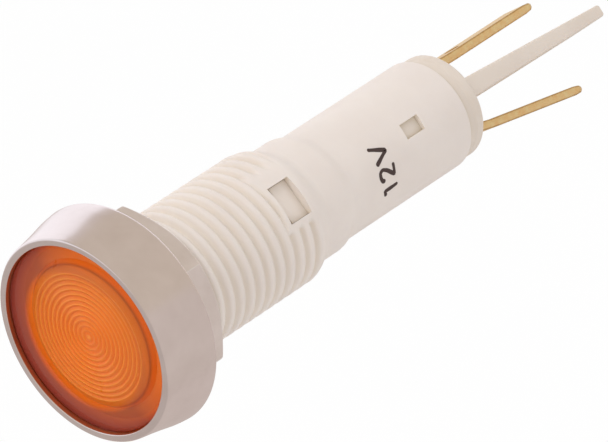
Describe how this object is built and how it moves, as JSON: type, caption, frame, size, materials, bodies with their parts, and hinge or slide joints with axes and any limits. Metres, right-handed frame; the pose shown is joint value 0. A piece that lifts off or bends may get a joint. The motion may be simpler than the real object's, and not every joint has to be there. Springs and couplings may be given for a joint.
{
  "type": "panel pilot light",
  "caption": "Round panel indicator lamp: amber ribbed lens in a metal bezel, threaded nylon housing with a hexagon nut, and flat rear terminals parted by a barrier.",
  "frame": {"origin": "centre of the bezel's rear face, where the lamp seats on the front of a panel", "axes": "+Y runs along the lamp's axis from the lens to the terminals, +X passes through the right-hand terminal, +Z passes through the snap windows"},
  "size_m": [0.0203, 0.0653, 0.0202],
  "materials": {
    "bezel_metal": "satin",
    "amber_lens": "gloss",
    "seal_rubber": "matte",
    "nylon": "matte",
    "nut_metal": "satin",
    "white_plastic": "gloss",
    "carrier_nylon": "matte",
    "lamp_epoxy": "gloss",
    "tinned_wire": "satin",
    "solder": "satin",
    "resistor_coat": "gloss",
    "sleeve_plastic": "matte",
    "cap_nylon": "matte",
    "brass": "satin"
  },
  "bodies": {
    "lamp": {"bezel": "bezel_metal", "lens": "amber_lens", "housing": "nylon", "rear_cap": "cap_nylon", "terminal_left": "brass", "terminal_right": "brass", "lens_seal": "seal_rubber", "reflector": "white_plastic", "lamp_carrier": "carrier_nylon", "led_body": "lamp_epoxy", "led_anode_lead": "tinned_wire", "led_cathode_lead": "tinned_wire", "lead_splice": "solder", "resistor": "resistor_coat", "resistor_front_lead": "tinned_wire", "resistor_rear_lead": "tinned_wire", "anode_sleeve": "sleeve_plastic", "cathode_sleeve": "sleeve_plastic", "solder_left": "solder", "solder_right": "solder"},
    "nut": {"mounting_nut": "nut_metal"}
  },
  "joints": [
    {"name": "nut_slide", "type": "slide", "parent": "lamp", "child": "nut", "axis": [0, 1, 0], "range_m": [0, 0.0141]}
  ]
}
